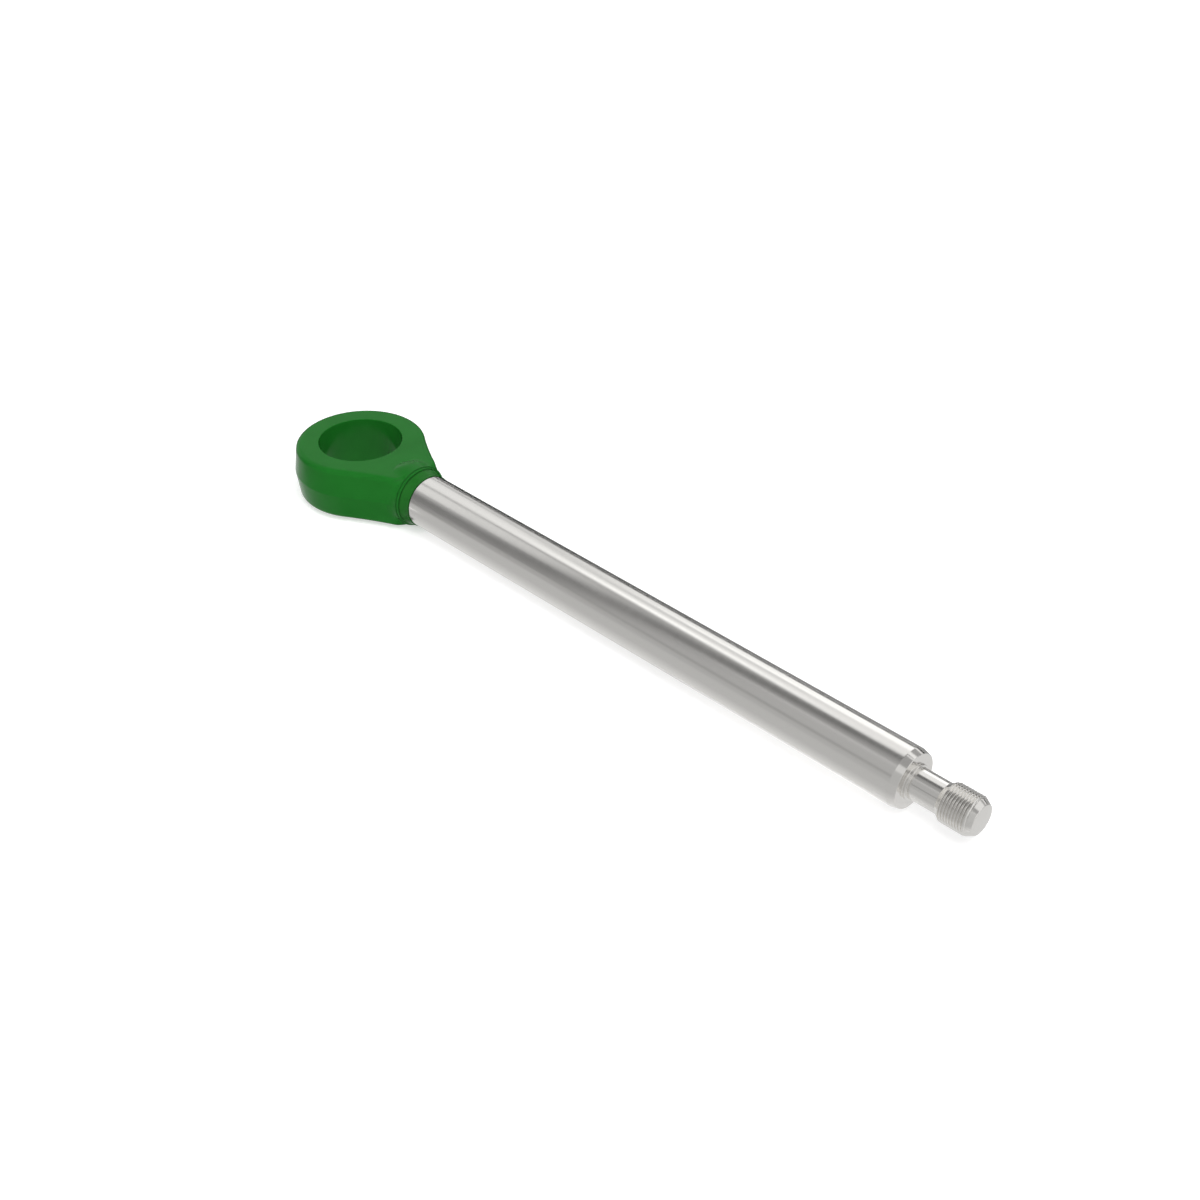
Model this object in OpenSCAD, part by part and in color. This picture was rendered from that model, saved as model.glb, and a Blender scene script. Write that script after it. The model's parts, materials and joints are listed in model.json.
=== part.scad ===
// Hydraulic piston rod: a chromed bar that ends in a threaded stud for the piston,
// with a forged and painted rod eye welded to its other end.
// The origin is the centre of the eye's bore. +X runs along the rod towards the thread,
// and +Z runs along the bore. All sizes are in millimetres.

/* [Rod] */
// Diameter of the chromed bar
rod_d = 30; // [24:0.5:40]
// Distance from the centre of the eye to the shoulder that the piston seats on
shoulder_x = 392.7; // [150:0.1:900]
// Length of the lead-in chamfer at the shoulder, along the rod
lead_len = 4; // [1:0.1:8]
// Depth of the lead-in chamfer, across the rod
lead_depth = 1; // [0.3:0.1:3]

/* [Threaded stud] */
// Diameter of the plain neck behind the thread
neck_d = 15.8; // [12:0.1:17]
// Length of the plain neck, from the shoulder
neck_len = 16.5; // [6:0.1:40]
// Height of the collar at the neck's root, above the neck
collar_h = 1.1; // [0.3:0.1:2.5]
// Length of the collar along the neck
collar_len = 1.5; // [0.5:0.1:4]
// Major diameter of the thread
thread_d = 20; // [18:0.5:24]
// Length of the bevel from the neck up to the thread
bevel_len = 3; // [1:0.1:6]
// Length of full thread
thread_len = 12.5; // [6:0.1:40]
// Length of the chamfer at the tip, along the stud
tip_len = 4; // [1:0.1:6]
// Depth of the chamfer at the tip, across the stud
tip_depth = 2.3; // [0.5:0.1:4]

/* [Rod eye] */
// Diameter of the bore for the pin or bush
bore_d = 48; // [30:0.1:56]
// Thickness across the two flat faces
eye_t = 31; // [22:0.1:44]
// Diameter of the ring at its parting line, half way up
eye_d = 77.2; // [70:0.1:110]
// Forging draft of the outer walls, away from the parting line
draft = 7; // [3:0.5:10]
// Radius on the edges of the flat faces
edge_r = 3.3; // [1:0.1:5]
// Angle at which the flanks leave the ring, measured from the rod's axis
flank_angle = 33; // [25:0.5:40]
// Radius of the hollow in the flanks
flank_r = 220; // [100:5:500]
// Distance from the centre of the eye to the end of its round neck
boss_x = 53.2; // [48:0.1:70]
// Distance from the centre of the eye to where the round neck rises from the flat faces
boss_start = 37; // [30:0.1:44]
// Rounding where the round neck rises from the flat faces
boss_nose_r = 4; // [1:0.1:6]
// Chamfer at the end of the round neck
boss_chamfer = 1.1; // [0.3:0.1:2.5]
// Length of round neck between the flanks and the chamfer
boss_land = 1.2; // [0.3:0.1:6]

/* [Weld] */
// Height of the weld on the end of the eye's neck
weld_h = 1.7; // [1:0.1:4]
// Length of the weld along the rod
weld_len = 6.4; // [3:0.1:12]
// Thickness left at the weld's toe on the rod
weld_toe = 0.4; // [0.1:0.1:0.8]
// Radius of the hollow across the weld
weld_hollow_r = 14; // [8:0.5:40]
// Depth of the bevel on the end of the bar, which the weld fills
prep_depth = 1.5; // [0.5:0.1:4]
// Length of that bevel past the toe of the weld
prep_past = 0.5; // [0.2:0.1:2]

/* [Hidden] */

// Facets of a small and of a very large circle
fine = 96;
wide = 720;
// Steps that round one edge of the eye
edge_steps = 6;
// Overrun of a cutting shape past the face that it cuts
over = 1;

paint_green = [0.14, 0.42, 0.16];
chrome_grey = [0.80, 0.80, 0.79];

rod_r = rod_d / 2;
neck_r = neck_d / 2;
thread_r = thread_d / 2;
eye_r = eye_d / 2;
half_t = eye_t / 2;
boss_r = rod_r + weld_h + boss_chamfer;
// Radius inside the bore, where the ring section may stop
core_r = bore_d / 4;
// Depth of wall that reaches past the far side of the eye
far_in = 3 * eye_r;

weld_x = boss_x + weld_len;
prep_x = weld_x + prep_past;
bevel_x = shoulder_x + neck_len;
thread_x = bevel_x + bevel_len;
tip_x = thread_x + thread_len;
end_x = tip_x + tip_len;

// Centre of the edge rounding, inwards from the parting line and up from it
edge_z = half_t - edge_r;
edge_in = edge_z * tan(draft) + edge_r / cos(draft);

// Centre of a flank's hollow, which touches the ring from outside
flank_reach = eye_r + flank_r;
flank_cx = flank_reach * sin(flank_angle);
flank_cy = flank_reach * cos(flank_angle);
// Direction from the bore's centre to where a flank touches the ring
touch_angle = 90 - flank_angle;

// End of the web, short of the chamfer on the round neck
web_end = boss_x - boss_chamfer - boss_land;

// Radius of the bar's weld bevel at a distance along the rod
function prep_r(x) = rod_r - prep_depth * (prep_x - x) / (prep_x - boss_x);

// Turns a profile drawn as [radius, distance along the rod] about the rod's axis
module turn_about_rod() {
    rotate([90, 0, 90])
        rotate_extrude($fn = fine)
            children();
}

// Points of one rounded edge, from the drafted wall to the flat face
function edge_points() = [
    for (step = [0 : edge_steps])
        let (turn = draft + (90 - draft) * step / edge_steps)
        [edge_in - edge_r * cos(turn), edge_z + edge_r * sin(turn)]
];

// Half section of a drafted wall with rounded edges: x runs inwards from the parting line
module wall_section(depth) {
    upper = edge_points();
    lower = [for (p = upper) [p[0], -p[1]]];
    polygon(concat(
        [[0, 0]],
        lower,
        [[depth, -half_t], [depth, half_t]],
        [for (i = [edge_steps : -1 : 0]) upper[i]]
    ));
}

// Ring around the bore, outside the sector that the web fills
module eye_ring() {
    rotate([0, 0, touch_angle])
        rotate_extrude(angle = 360 - 2 * touch_angle, $fn = fine)
            translate([eye_r, 0])
                mirror([1, 0])
                    wall_section(eye_r - core_r);
}

// One hollow flank and all that lies behind it
module flank(side) {
    translate([flank_cx, side * flank_cy, 0])
        rotate_extrude($fn = wide)
            translate([flank_r, 0])
                wall_section(far_in);
}

// Outline, seen from above, between the lines where the flanks touch the ring
module flank_sector() {
    far_y = web_end * tan(touch_angle);
    polygon([
        [0, 0],
        [web_end, -far_y],
        [web_end, far_y]
    ]);
}

// Web from the ring to the round neck, with both of its sides hollow
module eye_web() {
    intersection() {
        translate([0, 0, -half_t - over])
            linear_extrude(eye_t + 2 * over)
                flank_sector();
        flank(1);
        flank(-1);
    }
}

// Round neck that the rod is welded to
module eye_boss() {
    turn_about_rod() {
        polygon([
            [0, boss_start],
            [boss_r - boss_nose_r, boss_start],
            [boss_r - boss_nose_r, boss_start + boss_nose_r],
            [boss_r, boss_start + boss_nose_r],
            [boss_r, boss_x - boss_chamfer],
            [boss_r - boss_chamfer, boss_x],
            [0, boss_x]
        ]);
        translate([boss_r - boss_nose_r, boss_start + boss_nose_r])
            circle(r = boss_nose_r, $fn = fine);
    }
}

module rod_eye() {
    color(paint_green)
        difference() {
            union() {
                eye_ring();
                eye_web();
                eye_boss();
            }
            cylinder(h = eye_t + 2 * over, d = bore_d, center = true, $fn = fine);
        }
}

module weld_bead() {
    top = [rod_r + weld_h, boss_x];
    toe = [rod_r + weld_toe, weld_x];
    chord = toe - top;
    half_chord = norm(chord) / 2;
    stand_off = sqrt(weld_hollow_r * weld_hollow_r - half_chord * half_chord);
    outward = [chord[1], -chord[0]] / norm(chord);
    hollow = (top + toe) / 2 + stand_off * outward;
    color(paint_green)
        turn_about_rod()
            difference() {
                polygon([
                    [prep_r(boss_x), boss_x],
                    top,
                    toe,
                    [prep_r(weld_x), weld_x]
                ]);
                translate(hollow)
                    circle(r = weld_hollow_r, $fn = wide);
            }
}

module piston_rod() {
    color(chrome_grey)
        turn_about_rod()
            polygon([
                [0, boss_x],
                [prep_r(boss_x), boss_x],
                [rod_r, prep_x],
                [rod_r, shoulder_x - lead_len],
                [rod_r - lead_depth, shoulder_x],
                [neck_r + collar_h, shoulder_x],
                [neck_r + collar_h, shoulder_x + collar_len],
                [neck_r, shoulder_x + collar_len],
                [neck_r, bevel_x],
                [thread_r, thread_x],
                [thread_r, tip_x],
                [thread_r - tip_depth, end_x],
                [0, end_x]
            ]);
}

rod_eye();
weld_bead();
piston_rod();
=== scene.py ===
"""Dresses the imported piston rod: a forged and painted eye, its weld, and a chromed bar with a cut thread.

All lengths are in metres, in the part's own frame: the origin is the centre of the eye's bore,
+X runs along the rod towards the thread and +Z runs along the bore.
"""
import json
import math
from collections import namedtuple

import bmesh
import bpy
from mathutils import Matrix, Vector


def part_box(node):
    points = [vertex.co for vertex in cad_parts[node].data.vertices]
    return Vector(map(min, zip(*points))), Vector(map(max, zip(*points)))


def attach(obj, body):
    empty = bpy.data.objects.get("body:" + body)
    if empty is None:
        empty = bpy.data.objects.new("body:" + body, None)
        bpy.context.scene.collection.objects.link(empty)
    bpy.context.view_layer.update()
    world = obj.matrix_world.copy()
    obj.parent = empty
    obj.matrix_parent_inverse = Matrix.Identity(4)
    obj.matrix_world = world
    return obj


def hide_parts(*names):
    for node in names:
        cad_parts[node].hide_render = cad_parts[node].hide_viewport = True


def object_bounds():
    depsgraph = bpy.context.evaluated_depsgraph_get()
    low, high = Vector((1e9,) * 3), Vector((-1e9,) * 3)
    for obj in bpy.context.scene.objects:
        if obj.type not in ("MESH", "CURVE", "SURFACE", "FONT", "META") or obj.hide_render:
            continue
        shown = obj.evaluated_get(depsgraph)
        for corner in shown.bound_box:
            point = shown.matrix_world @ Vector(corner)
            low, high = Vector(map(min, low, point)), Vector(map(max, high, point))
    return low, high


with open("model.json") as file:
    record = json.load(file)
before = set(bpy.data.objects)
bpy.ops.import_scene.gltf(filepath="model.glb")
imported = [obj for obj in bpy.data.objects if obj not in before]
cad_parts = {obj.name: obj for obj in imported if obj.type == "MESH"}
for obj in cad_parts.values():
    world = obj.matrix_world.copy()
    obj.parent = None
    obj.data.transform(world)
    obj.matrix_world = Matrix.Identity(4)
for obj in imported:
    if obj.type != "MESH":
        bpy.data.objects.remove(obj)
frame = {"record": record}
cad_low, cad_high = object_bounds()

MM = 0.001

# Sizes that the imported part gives
mounts = {mount["name"]: mount for mount in frame["record"]["mounts"]}
eye_low, eye_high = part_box("rod_eye")
weld_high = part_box("weld_bead")[1]
rod_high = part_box("piston_rod")[1]

bore_r = mounts["eye_bore"]["dims"]["r_mm"] * MM
half_t = mounts["eye_bore"]["dims"]["length_mm"] * MM / 2
rod_r = mounts["rod_surface"]["dims"]["r_mm"] * MM
rod_len = mounts["rod_surface"]["dims"]["length_mm"] * MM
rod_mid = mounts["rod_surface"]["pos_m"][0]
thread_r = mounts["piston_thread"]["dims"]["r_mm"] * MM
thread_len = mounts["piston_thread"]["dims"]["length_mm"] * MM
thread_mid = mounts["piston_thread"]["pos_m"][0]
shoulder_x = mounts["piston_shoulder"]["pos_m"][0]

eye_r = -eye_low.x
boss_r = eye_high.z
boss_x = eye_high.x
weld_x = weld_high.x
weld_r = weld_high.z
bar_x = rod_mid - rod_len / 2
lead_x = rod_mid + rod_len / 2
thread_x = thread_mid - thread_len / 2
tip_x = thread_mid + thread_len / 2
end_x = rod_high.x

# Form of the forged eye
DRAFT = math.radians(7)
EDGE_R = 3.3 * MM
FLANK_ANGLE = math.radians(33)
FLANK_R = 220 * MM
BORE_BREAK = 0.3 * MM
# The round neck rises from the flat faces at its start, over the length of its nose. Its land is
# the length that stands clear of the web.
BOSS_START = 37 * MM
BOSS_NOSE_LEN = 9 * MM
BOSS_LAND = 0.7 * MM
# Steps from the round neck down to the weld, as distance along the rod and radius
NECK_END = (
    (boss_x - 1.7 * MM, boss_r),
    (boss_x - 1.2 * MM, boss_r - 0.5 * MM),
    (boss_x - 0.3 * MM, boss_r - 0.6 * MM),
    (boss_x, weld_r),
)
# Width over which the neck runs into the faces and flanks, and how fast it grows along the rod
BLEND = 1.6 * MM
BLEND_GROWTH = 0.35
# Slope of the cone that takes the flanks' corners down to the round neck
CORNER_SLOPE = 1.0
# Section where the ring's mesh hands over to the neck's mesh
JUNCTION_X = 36 * MM
# Height under which a point of the eye lies on its parting line
ON_PARTING = 1e-9

# Form of the weld and of the bar's bevel under it
WELD_TOE = 0.4 * MM
WELD_HOLLOW_R = 14 * MM
PREP_DEPTH = 1.5 * MM

# Form of the bar's far end
LEAD_DEPTH = 1.0 * MM
NECK_R = 7.9 * MM
COLLAR_H = 1.1 * MM
COLLAR_LEN = 1.5 * MM
BEVEL_LEN = 3.0 * MM
TIP_DEPTH = 2.3 * MM
EDGE_BREAK = 0.25 * MM

# Metric fine thread, right-hand: pitch, depth and flat of a groove with 60 degree sides
PITCH = 1.5 * MM
GROOVE_DEPTH = 0.6134 * PITCH
GROOVE_FLAT = PITCH / 6
GROOVE_SIDE = math.radians(30)

# Fineness of the meshes
RING_STEPS = 120
FLANK_STEPS = 14
WALL_STEPS = 8
EDGE_STEPS = 10
FACE_STEPS = 8
BREAK_STEPS = 3
FLAT_STEPS = 48
NOSE_STEP = 0.2 * MM
NECK_STEP = 0.4 * MM
TURN_STEPS = 192
CORNER_STEPS = 3
HOLLOW_STEPS = 16
ROWS_PER_PITCH = 24

# Green paint on the forging and on the weld: the two ends of its tone, as linear colours. The weld's tones
# are set darker than the forging's as painted shade on the hollow weld between the parts
EYE_TONES = ((0.0092, 0.128, 0.0130), (0.0112, 0.143, 0.0155))
WELD_SHADED_TONES = ((0.009, 0.110, 0.011), (0.015, 0.124, 0.016))
PAINT_SPECULAR = 0.074
# Painted shade: the paint darkens by this share in two rings where the neck meets the weld, standing in for
# the shade in the grooves there
PAINTED_SHADE_STRENGTH = 0.38
# Place of each ring from the neck's end, and half its width
PAINTED_SHADE_RINGS = (
    (-1.45 * MM, 0.70 * MM),
    (0.20 * MM, 0.70 * MM),
)

# Chrome, as a linear colour
CHROME = (0.805, 0.791, 0.764)

# Range of roughness on the forging, in its bore, on the weld, on the ground bar and on the turned stud
EYE_ROUGH = (0.19, 0.25)
BORE_ROUGH = (0.04, 0.07)
WELD_ROUGH = (0.20, 0.30)
BAR_ROUGH = (0.17, 0.23)
STUD_ROUGH = (0.12, 0.18)

# Noises, as scale per metre and levels of detail: clouds of tone, clouds of gloss, orange peel and
# grain on the paint; lines, streaks and clouds on the metal
TONE_NOISE = (55, 4)
GLOSS_NOISE = (90, 3)
PEEL_NOISE = (620, 1)
GRAIN_NOISE = (2600, 2)
LINE_NOISE = (9000, 3)
STREAK_NOISE = (1500, 2)
CLOUD_NOISE = (30, 3)
# Range that holds most of a noise
NOISE_RANGE = (0.3, 0.7)
PEEL_STRENGTH = 0.12
PEEL_HEIGHT = 0.2 * MM
LINE_HEIGHT = 0.00022 * MM

# Camera, as the photograph was taken
VIEW_FROM = Vector((1, -1, 1)).normalized()
VIEW_DISTANCE = 855.7 * MM
LENS_MM = 50
SENSOR_MM = 36

# Plain studio: white background, pale floor and soft light
WHITE = (1, 1, 1, 1)
BLACK = (0, 0, 0, 1)
AMBIENT = 0.70
FLOOR_SIDE = 8
FLOOR_GLOW = 0.56
FLOOR_SHADE = 0.64
TABLE_GLOW = 0.45
TABLE_SHADE = 0.40
LAMP_PLACE = Vector((0.85, -0.4, 1.35))
LAMP_SIZE = 0.9
LAMP_POWER = 16

# Cards that stand round the rod and show only in gloss. A card faces the rod from a turn about it,
# in degrees from straight up and towards the camera's side. Its place is its distance, its shift
# along the rod and its shift aside. A share of its ends and of its sides fades out, its tone runs
# from one end to the other, and it may be twisted in its own plane.
Card = namedtuple("Card", (
    "name", "turn", "distance", "along", "aside", "half_length", "half_width",
    "end_soft", "side_soft", "tones", "twist",
))
CARDS = (
    Card("ceiling", -20, 2.60, -0.50, 0, 5.0, 3.20, 0.2, 0.25, (0.37, 0.37), 0),
    Card("grey_wall", 67, 2.20, -0.60, 0, 5.0, 2.95, 0.2, 0.64, (0.335, 0.64), 0),
    Card("dark_flag", 20, 1.35, -0.62, 0, 2.8, 0.28, 0.2, 0.78, (0.04, 0.25), 120.6),
    Card("eye_flag", 67, 2.00, -3.78, 0, 2.2, 1.07, 0.2, 0.51, (0.12, 0.12), 0),
    Card("far_box", -34, 2.00, -1.55, 0, 1.65, 0.92, 0.15, 0.17, (0.83, 1.0), 0),
    Card("far_line", -21, 1.90, -0.98, 0, 0.42, 0.27, 0.5, 0.50, (1.32, 1.32), 0),
    Card("far_gap", -41, 1.90, -0.95, 0, 0.40, 0.22, 0.5, 0.60, (0.66, 0.66), 0),
    Card("far_rise", -53, 1.90, -0.76, 0, 0.34, 0.20, 0.5, 0.60, (1.40, 1.40), 0),
    Card("near_gap", 69, 1.90, -0.65, 0, 0.50, 0.17, 0.4, 0.60, (0.33, 0.33), 0),
    Card("lead_box", -30, 2.00, 0.25, 0, 0.45, 0.50, 0.3, 0.40, (1.02, 1.02), 0),
    Card("tip_box", -27, 2.20, 2.20, 0, 1.5, 1.45, 0.2, 0.35, (0.88, 0.88), 0),
    Card("front_box", 33, 1.20, 0.72, 0, 0.5, 0.34, 0.3, 0.40, (0.80, 0.66), 0),
    Card("far_strip", -78, 1.80, -0.90, 0, 0.70, 1.48, 0.2, 0.10, (0.50, 1.55), 0),
    Card("over_strip", 12, 1.90, -2.38, 0, 1.28, 0.61, 0.2, 0.12, (1.31, 0.74), 0),
    Card("far_low", -82, 1.50, -0.19, 0, 3.4, 0.16, 0.2, 0.12, (0.01, 0.025), 0),
    Card("near_floor", 180, 0.0177, -0.10, -1.974, 4.0, 2.00, 0.2, 0.0335, (0.55, 0.55), 0),
    Card("far_shade", 180, 0.0176, -0.48, 1.499, 0.53, 1.50, 0.02, 0.0075, (0, 0), 0),
    Card("far_floor", 180, 0.0176, 0.49, 1.499, 0.46, 1.50, 0.04, 0.0075, (0.06, 0.80), 0),
    Card("eye_floor", 180, 0.0175, -0.038, -0.020, 0.062, 0.050, 0.10, 0.15, (1.10, 1.10), 0),
    # The card under the neck is painted shade: a dark card seen only in gloss that stands in for the shadow
    # on the floor there
    Card("neck_floor", 180, 0.0174, 0.0475, -0.006, 0.0035, 0.016, 0.4, 0.30, (0.08, 0.08), 0),
    Card("lead_floor", 180, 0.0174, 0.325, 0.0005, 0.085, 0.015, 0.60, 0.45, (0.92, 1.30), 0),
    Card("end_floor", 180, 0.0173, 1.39, 0.02, 1.015, 0.040, 0.03, 0.20, (0.74, 0.74), 0),
)


def make_piece(name, verts, faces, material, sharp=()):
    """Makes a smooth-shaded mesh object; sharp holds pairs of vertices whose edge stays crisp."""
    mesh = bpy.data.meshes.new(name)
    mesh.from_pydata(verts, [], faces)
    shaped = bmesh.new()
    shaped.from_mesh(mesh)
    bmesh.ops.recalc_face_normals(shaped, faces=shaped.faces)
    shaped.verts.ensure_lookup_table()
    for face in shaped.faces:
        face.smooth = True
    for first, second in sharp:
        edge = shaped.edges.get((shaped.verts[first], shaped.verts[second]))
        if edge:
            edge.smooth = False
    shaped.to_mesh(mesh)
    shaped.free()
    mesh.materials.append(material)
    piece = bpy.data.objects.new(name, mesh)
    bpy.context.scene.collection.objects.link(piece)
    weigh = piece.modifiers.new("even_normals", "WEIGHTED_NORMAL")
    weigh.keep_sharp = True
    return piece


def soft_max(a, b, width):
    """The larger of two values, with a rounded change from one to the other."""
    near = max(width - abs(a - b), 0) / width
    return max(a, b) + near * near * width / 4


def soft_min(a, b, width):
    """The smaller of two values, with a rounded change from one to the other."""
    return -soft_max(-a, -b, width)


def wall_rows():
    """Inset from the parting line and height, up a drafted wall and round its edge to the flat face."""
    edge_z = half_t - EDGE_R
    edge_in = edge_z * math.tan(DRAFT) + EDGE_R / math.cos(DRAFT)
    wall_top = edge_z + EDGE_R * math.sin(DRAFT)
    rows = []
    for step in range(WALL_STEPS):
        height = wall_top * step / WALL_STEPS
        rows.append((height * math.tan(DRAFT), height))
    for step in range(EDGE_STEPS + 1):
        turn = DRAFT + (math.pi / 2 - DRAFT) * step / EDGE_STEPS
        rows.append((edge_in - EDGE_R * math.cos(turn), edge_z + EDGE_R * math.sin(turn)))
    return rows


# Centre of a flank's hollow, and the turn about it at which the flank touches the ring
flank_reach = eye_r + FLANK_R
flank_cx = flank_reach * math.sin(FLANK_ANGLE)
flank_cy = flank_reach * math.cos(FLANK_ANGLE)
touch_turn = math.pi / 2 - FLANK_ANGLE

# Places along the rod where the neck's nose ends, where the steps at its end begin, and where the
# web ends
nose_x = BOSS_START + BOSS_NOSE_LEN
steps_x = NECK_END[0][0]
web_end = steps_x - BOSS_LAND


def ring_point(angle, inset):
    """Point of the ring, seen from above, at an angle about the bore."""
    reach = eye_r - inset
    return reach * math.cos(angle), reach * math.sin(angle)


def flank_turn(x, inset):
    """Turn about the centre of a flank's hollow at which the flank reaches a place along the rod."""
    return math.acos((flank_cx - x) / (FLANK_R + inset))


def flank_point(turn, inset, side):
    """Point of a flank, seen from above, on the side that is 1 or -1."""
    reach = FLANK_R + inset
    return flank_cx - reach * math.cos(turn), side * (flank_cy - reach * math.sin(turn))


def boss_radius(x):
    """Radius of the round neck at a place along the rod, with the nose that rises from the flat faces."""
    if x < nose_x:
        return boss_r - (boss_r - half_t) * ((nose_x - x) / BOSS_NOSE_LEN) ** 2
    reach = boss_r
    for (first_x, first_r), (last_x, last_r) in zip(NECK_END, NECK_END[1:]):
        if x > first_x:
            share = min((x - first_x) / (last_x - first_x), 1)
            reach = first_r + (last_r - first_r) * share
    return reach


def round_neck(x, y, z):
    """Moves a point of the web out to the round neck, and takes the web's corners down to it."""
    reach = math.hypot(y, z)
    neck = boss_radius(x)
    grown = soft_max(reach, neck, min(BLEND, BLEND_GROWTH * (x - JUNCTION_X)))
    cone = neck + CORNER_SLOPE * max(0.0, web_end - x)
    if x >= web_end:
        grown = neck
    elif x > nose_x:
        grown = max(neck, soft_min(grown, cone, BLEND))
    return x, y * grown / reach, z * grown / reach


def neck_stations():
    """Places along the rod for the neck's sections, closest together where it rises from the faces."""
    stations = []
    x = JUNCTION_X + NOSE_STEP
    while x < steps_x - NECK_STEP / 2:
        stations.append(x)
        x += NOSE_STEP if x < nose_x else NECK_STEP
    return stations + [x for x, radius in NECK_END]


def eye_mesh():
    """Vertices, faces and crisp edges of the whole eye. The upper half is made first, then mirrored."""
    verts, faces, sharp = [], [], []
    rows = wall_rows()

    def add(x, y, z):
        verts.append((x, y, z))
        return len(verts) - 1

    def quads(first, second):
        for a, b, c, d in zip(first, first[1:], second[1:], second):
            faces.append((a, b, c, d))

    def flank_column(side, share):
        column = []
        for inset, height in rows:
            turn = touch_turn + share * (flank_turn(JUNCTION_X, inset) - touch_turn)
            column.append(add(*flank_point(turn, inset, side), height))
        return column

    # The drafted wall, from the neck round the ring and back to the neck
    columns = [flank_column(1, step / FLANK_STEPS) for step in range(FLANK_STEPS, 0, -1)]
    for step in range(RING_STEPS + 1):
        angle = touch_turn + (2 * math.pi - 2 * touch_turn) * step / RING_STEPS
        columns.append([add(*ring_point(angle, inset), height) for inset, height in rows])
    columns += [flank_column(-1, step / FLANK_STEPS) for step in range(1, FLANK_STEPS + 1)]
    for first, second in zip(columns, columns[1:]):
        quads(first, second)
        sharp.append((first[0], second[0]))

    # The flat face, from the wall's top and a line across the neck in to the bore
    half_w = verts[columns[0][-1]][1]
    across = []
    for step in range(1, FLAT_STEPS):
        across.append(add(JUNCTION_X, half_w * (2 * step / FLAT_STEPS - 1), half_t))
    loop = [column[-1] for column in columns] + across
    ring = loop
    for step in range(1, FACE_STEPS + BREAK_STEPS + 1):
        inner = []
        share = min(step / FACE_STEPS, 1)
        turn = math.pi / 2 * max(step - FACE_STEPS, 0) / BREAK_STEPS
        for index in loop:
            x, y, z = verts[index]
            angle = math.atan2(y, x)
            reach = bore_r + BORE_BREAK * (1 - math.sin(turn))
            inner.append(add(
                x + (reach * math.cos(angle) - x) * share,
                y + (reach * math.sin(angle) - y) * share,
                half_t - BORE_BREAK * (1 - math.cos(turn)),
            ))
        quads(ring + ring[:1], inner + inner[:1])
        ring = inner

    # The neck, as sections across the rod from one parting line over the top to the other
    section = columns[0] + across[::-1] + columns[-1][::-1]
    creases = []
    for x in neck_stations():
        points = [(*flank_point(flank_turn(x, inset), inset, 1), height) for inset, height in rows]
        half_w = points[-1][1]
        flat = [(x, half_w * (1 - 2 * step / FLAT_STEPS), half_t) for step in range(1, FLAT_STEPS)]
        points += flat + [(px, -py, pz) for px, py, pz in reversed(points)]
        following = [add(*round_neck(*point)) for point in points]
        quads(section, following)
        if x < web_end:
            sharp += [(section[0], following[0]), (section[-1], following[-1])]
        if x >= steps_x:
            creases.append(following)
        section = following

    # The lower half, the bore between the two halves, and the end that the rod stands against
    below = {}
    for index in range(len(verts)):
        x, y, z = verts[index]
        below[index] = index if z < ON_PARTING else add(x, y, -z)
    faces += [tuple(below[index] for index in reversed(face)) for face in faces]
    quads(ring + ring[:1], [below[index] for index in ring + ring[:1]])
    centre = add(boss_x, 0, 0)
    for crease in creases:
        rim = crease + [below[index] for index in crease[-2:0:-1]]
        sharp += list(zip(rim, rim[1:] + rim[:1]))
    for first, second in zip(rim, rim[1:] + rim[:1]):
        faces.append((first, second, centre))
    return verts, faces, sharp


def round_profile(points, radius):
    """Rounds each inner corner of a profile of [distance along the rod, radius] points."""
    rounded = [points[0]]
    for before, corner, after in zip(points, points[1:], points[2:]):
        corner = Vector(corner)
        to_before = Vector(before) - corner
        to_after = Vector(after) - corner
        cut = min(radius, to_before.length / 2, to_after.length / 2)
        start = corner + to_before.normalized() * cut
        stop = corner + to_after.normalized() * cut
        for step in range(CORNER_STEPS + 1):
            share = step / CORNER_STEPS
            point = start * (1 - share) ** 2 + corner * 2 * share * (1 - share) + stop * share ** 2
            rounded.append(tuple(point))
    return rounded + [points[-1]]


def revolved(rows, closed=False):
    """Vertices and faces of rows about the rod's axis.

    A row is a distance along the rod and a radius, or a function that gives the radius at each turn.
    """
    verts, faces, rings = [], [], []
    for x, radius in rows:
        if not callable(radius) and radius == 0:
            verts.append((x, 0, 0))
            rings.append([len(verts) - 1] * (TURN_STEPS + 1))
            continue
        ring = []
        for step in range(TURN_STEPS):
            turn = step / TURN_STEPS
            reach = radius(turn) if callable(radius) else radius
            angle = 2 * math.pi * turn
            verts.append((x, reach * math.cos(angle), reach * math.sin(angle)))
            ring.append(len(verts) - 1)
        rings.append(ring + ring[:1])
    pairs = list(zip(rings, rings[1:])) + ([(rings[-1], rings[0])] if closed else [])
    for first, second in pairs:
        for corners in zip(first, first[1:], second[1:], second):
            faces.append(tuple(dict.fromkeys(corners)))
    return verts, faces


def stud_radius(x):
    """Outline of the stud before the thread is cut: bevel, thread and chamfer at the tip."""
    if x < thread_x:
        return thread_r - (thread_r - NECK_R) * (thread_x - x) / BEVEL_LEN
    return thread_r - TIP_DEPTH * max(0.0, x - tip_x) / (end_x - tip_x)


def threaded(x):
    """Radius of the stud at each turn, with the helical groove cut into its outline."""
    outline = stud_radius(x)

    def radius(turn):
        along = (x / PITCH - turn) % 1.0
        from_groove = abs(along - 0.5) * PITCH - GROOVE_FLAT / 2
        cut = GROOVE_DEPTH - max(0.0, from_groove) / math.tan(GROOVE_SIDE)
        return min(outline, thread_r - max(0.0, cut))

    return radius


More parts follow.
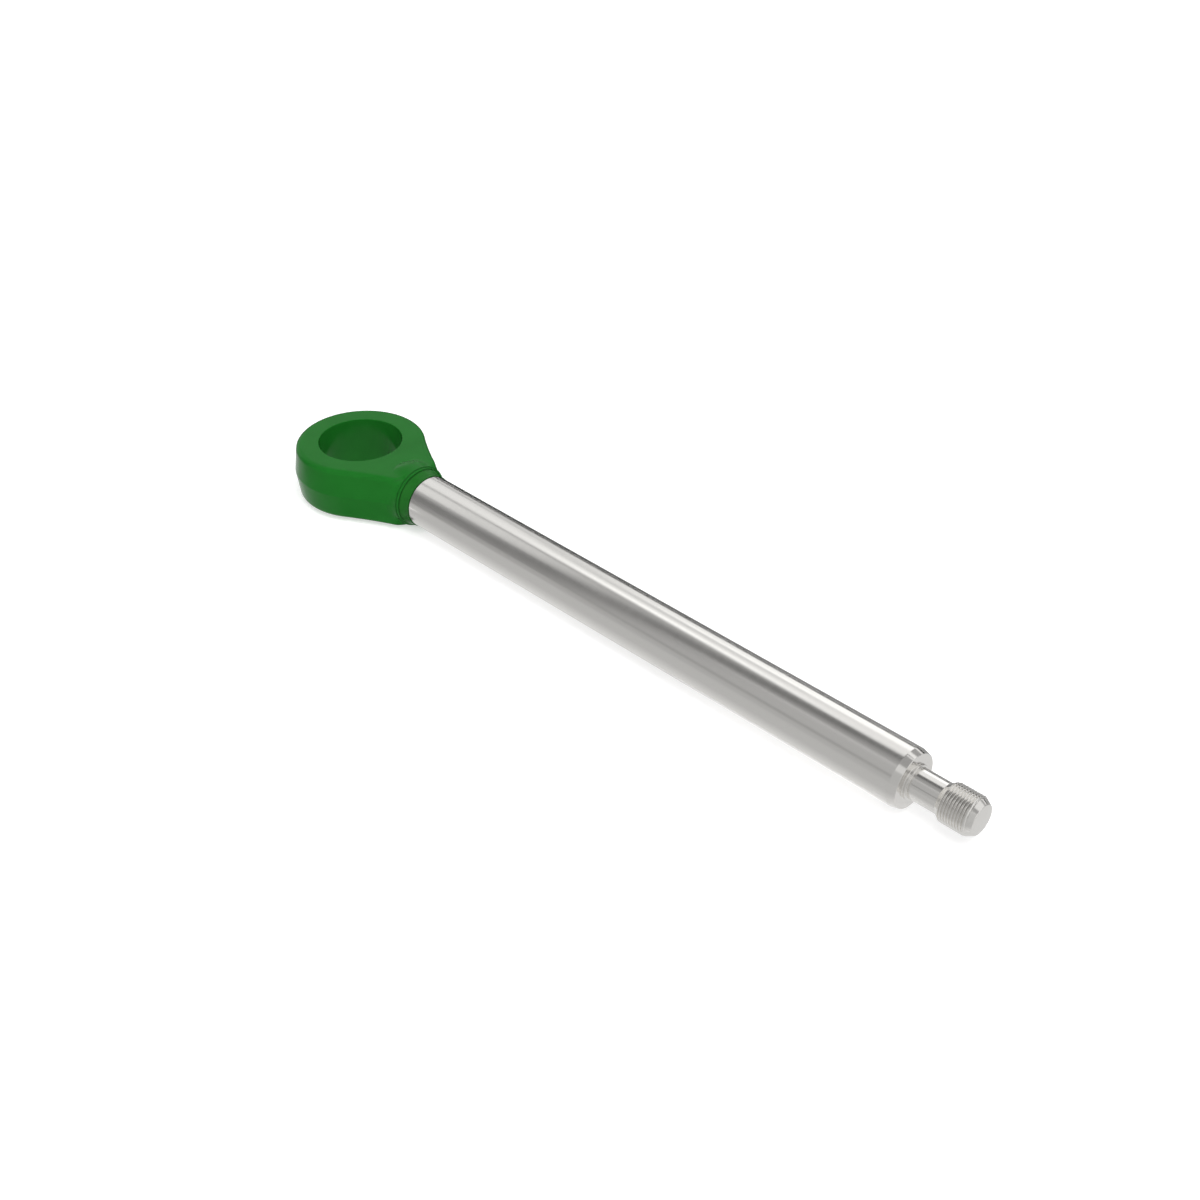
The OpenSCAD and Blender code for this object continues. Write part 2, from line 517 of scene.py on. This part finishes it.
def rod_rows():
    """Rows of the bar from its welded end to the tip of the stud."""
    bevel_x = thread_x - BEVEL_LEN
    tip_r = thread_r - TIP_DEPTH
    bar = round_profile([
        (boss_x, 0),
        (boss_x, rod_r - PREP_DEPTH),
        (bar_x, rod_r),
        (lead_x, rod_r),
        (shoulder_x, rod_r - LEAD_DEPTH),
        (shoulder_x, NECK_R + COLLAR_H),
        (shoulder_x + COLLAR_LEN, NECK_R + COLLAR_H),
        (shoulder_x + COLLAR_LEN, NECK_R),
        (bevel_x, NECK_R),
    ], EDGE_BREAK)
    stud_len = end_x - EDGE_BREAK - bevel_x
    count = round(stud_len / PITCH * ROWS_PER_PITCH)
    stud = []
    for step in range(1, count + 1):
        x = bevel_x + stud_len * step / count
        stud.append((x, threaded(x)))
    return bar + stud + [(end_x, tip_r - EDGE_BREAK), (end_x, 0)]


def weld_rows():
    """Rows of the weld: a hollow face from the eye's neck down to its toe on the bar."""
    top = Vector((boss_x, weld_r))
    toe = Vector((weld_x, rod_r + WELD_TOE))
    chord = toe - top
    out = Vector((-chord.y, chord.x)).normalized()
    stand_off = math.sqrt(WELD_HOLLOW_R ** 2 - (chord.length / 2) ** 2)
    hollow = (top + toe) / 2 + out * stand_off
    first = math.atan2(top.y - hollow.y, top.x - hollow.x)
    last = math.atan2(toe.y - hollow.y, toe.x - hollow.x)
    rows = []
    for step in range(HOLLOW_STEPS + 1):
        turn = first + (last - first) * step / HOLLOW_STEPS
        rows.append((hollow.x + WELD_HOLLOW_R * math.cos(turn), hollow.y + WELD_HOLLOW_R * math.sin(turn)))
    slope = PREP_DEPTH / (bar_x - boss_x)
    rows.append((weld_x, rod_r - slope * (bar_x - weld_x)))
    rows.append((boss_x, rod_r - PREP_DEPTH))
    return rows


def new_material(name):
    """A material with an empty node tree."""
    material = bpy.data.materials.new(name)
    material.use_nodes = True
    tree = material.node_tree
    tree.nodes.clear()
    return material, tree


def add_node(tree, kind, values=None, **settings):
    """Adds a node, sets its properties, and sets or links its inputs by name or number."""
    node = tree.nodes.new(kind)
    for key, value in settings.items():
        setattr(node, key, value)
    for key, value in (values or {}).items():
        if isinstance(value, bpy.types.NodeSocket):
            tree.links.new(value, node.inputs[key])
        else:
            node.inputs[key].default_value = value
    return node


def noise(tree, place, scale, detail):
    """A noise with this many features to the metre."""
    values = {"Vector": place, "Scale": scale, "Detail": detail}
    return add_node(tree, "ShaderNodeTexNoise", values).outputs["Fac"]


def spread(tree, value, low, high):
    """Takes a noise from its usual range to the range from low to high."""
    return add_node(tree, "ShaderNodeMapRange", {
        "Value": value,
        "From Min": NOISE_RANGE[0],
        "From Max": NOISE_RANGE[1],
        "To Min": low,
        "To Max": high,
    }).outputs["Result"]


def painted_shade_share(tree, parts):
    """Share of painted shade that darkens the paint in the rings where the neck meets the weld."""
    shares = []
    for from_end, half_width in PAINTED_SHADE_RINGS:
        offset = add_node(tree, "ShaderNodeMath", {
            0: parts.outputs["X"],
            1: boss_x + from_end,
        }, operation="SUBTRACT").outputs[0]
        shares.append(add_node(tree, "ShaderNodeMapRange", {
            "Value": add_node(tree, "ShaderNodeMath", {0: offset}, operation="ABSOLUTE").outputs[0],
            "From Min": 0,
            "From Max": half_width,
            "To Min": PAINTED_SHADE_STRENGTH,
            "To Max": 0,
        }, interpolation_type="SMOOTHSTEP").outputs["Result"])
    return add_node(tree, "ShaderNodeMath", {0: shares[0], 1: shares[1]}, operation="MAXIMUM").outputs[0]


def in_bore(tree, parts):
    """One in the eye's bore, and nought elsewhere."""
    level = add_node(tree, "ShaderNodeCombineXYZ", {"X": parts.outputs["X"], "Y": parts.outputs["Y"]})
    reach = add_node(tree, "ShaderNodeVectorMath", {0: level.outputs["Vector"]}, operation="LENGTH")
    return add_node(tree, "ShaderNodeMath", {
        0: reach.outputs["Value"],
        1: bore_r + BORE_BREAK / 2,
    }, operation="LESS_THAN").outputs[0]


def paint_material(name, tones, rough_range):
    """Semi-gloss paint: slow changes of tone and gloss, painted shade in two rings where the neck meets the
    weld, a fine orange peel, and more gloss in the bore.
    """
    material, tree = new_material(name)
    place = add_node(tree, "ShaderNodeTexCoord").outputs["Object"]
    cloud = noise(tree, place, *TONE_NOISE)
    tone = add_node(tree, "ShaderNodeMix", {
        "Factor": spread(tree, cloud, 0, 1),
        "A": (*tones[0], 1),
        "B": (*tones[1], 1),
    }, data_type="RGBA")
    parts = add_node(tree, "ShaderNodeSeparateXYZ", {"Vector": place})
    # Painted shade: the tone is mixed towards black in the two rings where the neck meets the weld
    shaded = add_node(tree, "ShaderNodeMix", {
        "Factor": painted_shade_share(tree, parts),
        "A": tone.outputs["Result"],
        "B": BLACK,
    }, data_type="RGBA")
    gloss = noise(tree, place, *GLOSS_NOISE)
    rough = add_node(tree, "ShaderNodeMix", {
        "Factor": in_bore(tree, parts),
        "A": spread(tree, gloss, *rough_range),
        "B": spread(tree, gloss, *BORE_ROUGH),
    }, data_type="FLOAT").outputs["Result"]
    peel = noise(tree, place, *PEEL_NOISE)
    grain = noise(tree, place, *GRAIN_NOISE)
    height = add_node(tree, "ShaderNodeMath", {0: peel, 1: grain}, operation="ADD").outputs[0]
    bump = add_node(tree, "ShaderNodeBump", {
        "Height": height,
        "Strength": PEEL_STRENGTH,
        "Distance": PEEL_HEIGHT,
    })
    shader = add_node(tree, "ShaderNodeBsdfPrincipled", {
        "Base Color": shaded.outputs["Result"],
        "Roughness": rough,
        "Normal": bump.outputs["Normal"],
        "Specular IOR Level": PAINT_SPECULAR,
    })
    add_node(tree, "ShaderNodeOutputMaterial", {"Surface": shader.outputs["BSDF"]})
    return material


def metal_material(name, colour):
    """Ground bar and turned stud: fine lines round the rod, which also run round its flat faces."""
    material, tree = new_material(name)
    place = add_node(tree, "ShaderNodeTexCoord").outputs["Object"]
    parts = add_node(tree, "ShaderNodeSeparateXYZ", {"Vector": place})
    flat = add_node(tree, "ShaderNodeCombineXYZ", {"Y": parts.outputs["Y"], "Z": parts.outputs["Z"]})
    reach = add_node(tree, "ShaderNodeVectorMath", {0: flat.outputs["Vector"]}, operation="LENGTH")
    lines = add_node(tree, "ShaderNodeCombineXYZ", {"X": parts.outputs["X"], "Y": reach.outputs["Value"]})
    fine = noise(tree, lines.outputs["Vector"], *LINE_NOISE)
    bump = add_node(tree, "ShaderNodeBump", {"Height": fine, "Strength": 1.0, "Distance": LINE_HEIGHT})
    streak = noise(tree, lines.outputs["Vector"], *STREAK_NOISE)
    cloud = noise(tree, place, *CLOUD_NOISE)
    total = add_node(tree, "ShaderNodeMath", {0: streak, 1: cloud}, operation="ADD").outputs[0]
    mean = add_node(tree, "ShaderNodeMath", {0: total, 1: 0.5}, operation="MULTIPLY").outputs[0]
    on_stud = add_node(tree, "ShaderNodeMath", {
        0: parts.outputs["X"],
        1: lead_x,
    }, operation="GREATER_THAN").outputs[0]
    rough = add_node(tree, "ShaderNodeMix", {
        "Factor": on_stud,
        "A": spread(tree, mean, *BAR_ROUGH),
        "B": spread(tree, mean, *STUD_ROUGH),
    }, data_type="FLOAT").outputs["Result"]
    shader = add_node(tree, "ShaderNodeBsdfPrincipled", {
        "Base Color": (*colour, 1),
        "Metallic": 1.0,
        "Roughness": rough,
        "Normal": bump.outputs["Normal"],
    })
    add_node(tree, "ShaderNodeOutputMaterial", {"Surface": shader.outputs["BSDF"]})
    return material


def backdrop_rays(tree):
    """One for the rays that show the white background: from the camera, in gloss and through glass."""
    path = add_node(tree, "ShaderNodeLightPath")
    shown = add_node(tree, "ShaderNodeMath", {
        0: path.outputs["Is Camera Ray"],
        1: path.outputs["Is Glossy Ray"],
    }, operation="MAXIMUM")
    return add_node(tree, "ShaderNodeMath", {
        0: shown.outputs[0],
        1: path.outputs["Is Transmission Ray"],
    }, operation="MAXIMUM").outputs[0]


def make_world():
    """Soft light from all round, and white where the background shows."""
    world = bpy.data.worlds.new("studio")
    world.use_nodes = True
    tree = world.node_tree
    tree.nodes.clear()
    soft = add_node(tree, "ShaderNodeBackground", {"Color": WHITE, "Strength": AMBIENT})
    white = add_node(tree, "ShaderNodeBackground", {"Color": WHITE, "Strength": 1.0})
    both = add_node(tree, "ShaderNodeMixShader", {
        0: backdrop_rays(tree),
        1: soft.outputs["Background"],
        2: white.outputs["Background"],
    })
    add_node(tree, "ShaderNodeOutputWorld", {"Surface": both.outputs["Shader"]})
    bpy.context.scene.world = world


def glow_and_shade(tree, glow, shade):
    """A surface that glows by itself and also takes the light and the shade of the scene."""
    own = add_node(tree, "ShaderNodeEmission", {"Color": WHITE, "Strength": glow})
    lit = add_node(tree, "ShaderNodeBsdfDiffuse", {"Color": (shade, shade, shade, 1)})
    both = add_node(tree, "ShaderNodeAddShader", {0: own.outputs["Emission"], 1: lit.outputs["BSDF"]})
    return both.outputs["Shader"]


def make_plate(name, half, material):
    """A flat square in one material, for the floor and the cards."""
    corners = [(-half, -half, 0), (half, -half, 0), (half, half, 0), (-half, half, 0)]
    mesh = bpy.data.meshes.new(name)
    mesh.from_pydata(corners, [], [(0, 1, 2, 3)])
    mesh.materials.append(material)
    plate = bpy.data.objects.new(name, mesh)
    bpy.context.scene.collection.objects.link(plate)
    return plate


def make_floor():
    """A pale floor that shows as white, with the object's shadow kept on it."""
    material, tree = new_material("pale_floor")
    both = add_node(tree, "ShaderNodeMixShader", {
        0: backdrop_rays(tree),
        1: glow_and_shade(tree, TABLE_GLOW, TABLE_SHADE),
        2: glow_and_shade(tree, FLOOR_GLOW, FLOOR_SHADE),
    })
    add_node(tree, "ShaderNodeOutputMaterial", {"Surface": both.outputs["Shader"]})
    floor = make_plate("floor", FLOOR_SIDE / 2, material)
    floor.location = (target.x, target.y, cad_low.z)


def make_card(card):
    """A glowing card with soft edges that only gloss shows."""
    material, tree = new_material(card.name)
    place = add_node(tree, "ShaderNodeTexCoord").outputs["Object"]
    parts = add_node(tree, "ShaderNodeSeparateXYZ", {"Vector": place})

    def fade(axis, share):
        size = add_node(tree, "ShaderNodeMath", {0: parts.outputs[axis]}, operation="ABSOLUTE").outputs[0]
        values = {"Value": size, "From Min": 1 - share, "From Max": 1, "To Min": 1, "To Max": 0}
        ramp = add_node(tree, "ShaderNodeMapRange", values, interpolation_type="SMOOTHSTEP")
        return ramp.outputs["Result"]

    solid = add_node(tree, "ShaderNodeMath", {
        0: fade("X", card.end_soft),
        1: fade("Y", card.side_soft),
    }, operation="MULTIPLY").outputs[0]
    tone = add_node(tree, "ShaderNodeMapRange", {
        "Value": parts.outputs["X"],
        "From Min": -1,
        "From Max": 1,
        "To Min": card.tones[0],
        "To Max": card.tones[1],
    }).outputs["Result"]
    glow = add_node(tree, "ShaderNodeEmission", {"Color": WHITE, "Strength": tone})
    clear = add_node(tree, "ShaderNodeBsdfTransparent")
    both = add_node(tree, "ShaderNodeMixShader", {
        0: solid,
        1: clear.outputs["BSDF"],
        2: glow.outputs["Emission"],
    })
    add_node(tree, "ShaderNodeOutputMaterial", {"Surface": both.outputs["Shader"]})

    turn = math.radians(card.turn)
    twist = math.radians(card.twist)
    out = Vector((0, -math.sin(turn), math.cos(turn)))
    side = Vector((0, -math.cos(turn), -math.sin(turn)))
    along = Vector((1, 0, 0))
    length_way = math.cos(twist) * along + math.sin(twist) * side
    width_way = math.cos(twist) * side - math.sin(twist) * along
    plate = make_plate(card.name, 1, material)
    plate.matrix_world = Matrix.LocRotScale(
        card.along * along + card.distance * out + card.aside * side,
        Matrix((length_way, width_way, -out)).transposed(),
        Vector((card.half_length, card.half_width, 1)),
    )
    plate.visible_camera = False
    plate.visible_diffuse = False
    plate.visible_transmission = False
    plate.visible_volume_scatter = False
    plate.visible_shadow = False


def make_camera():
    """The camera at the photograph's angle, pointed at the middle of the part."""
    camera = bpy.data.objects.new("camera", bpy.data.cameras.new("camera"))
    camera.data.lens = LENS_MM
    camera.data.sensor_width = SENSOR_MM
    camera.data.sensor_fit = "AUTO"
    camera.location = target + VIEW_FROM * VIEW_DISTANCE
    camera.rotation_euler = (-VIEW_FROM).to_track_quat("-Z", "Y").to_euler()
    bpy.context.scene.collection.objects.link(camera)
    bpy.context.scene.camera = camera


def make_lamp():
    """A square soft lamp that faces the middle of the part."""
    lamp = bpy.data.objects.new("key_lamp", bpy.data.lights.new("key_lamp", "AREA"))
    lamp.data.size = LAMP_SIZE
    lamp.data.energy = LAMP_POWER
    lamp.location = LAMP_PLACE
    lamp.rotation_euler = (target - LAMP_PLACE).to_track_quat("-Z", "Y").to_euler()
    lamp.visible_glossy = False
    bpy.context.scene.collection.objects.link(lamp)


eye_paint = paint_material("green_paint", EYE_TONES, EYE_ROUGH)
# The weld's paint is darker than the forging's as painted shade
weld_paint = paint_material("green_paint_weld", WELD_SHADED_TONES, WELD_ROUGH)
bar_chrome = metal_material("satin_chrome", CHROME)

eye_verts, eye_faces, eye_sharp = eye_mesh()
eye = make_piece("forged_eye", eye_verts, eye_faces, eye_paint, eye_sharp)
weld = make_piece("weld_ring", *revolved(weld_rows(), closed=True), weld_paint)
rod = make_piece("chromed_rod", *revolved(rod_rows()), bar_chrome)

for piece, node, slot in (
    (eye, "rod_eye", "eye_paint"),
    (weld, "weld_bead", "weld_paint"),
    (rod, "piston_rod", "rod_chrome"),
):
    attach(piece, "root")
    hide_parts(node)

target = (cad_low + cad_high) / 2
make_camera()
make_world()
make_floor()
for card in CARDS:
    make_card(card)
make_lamp()
bpy.context.scene.view_settings.view_transform = "Standard"
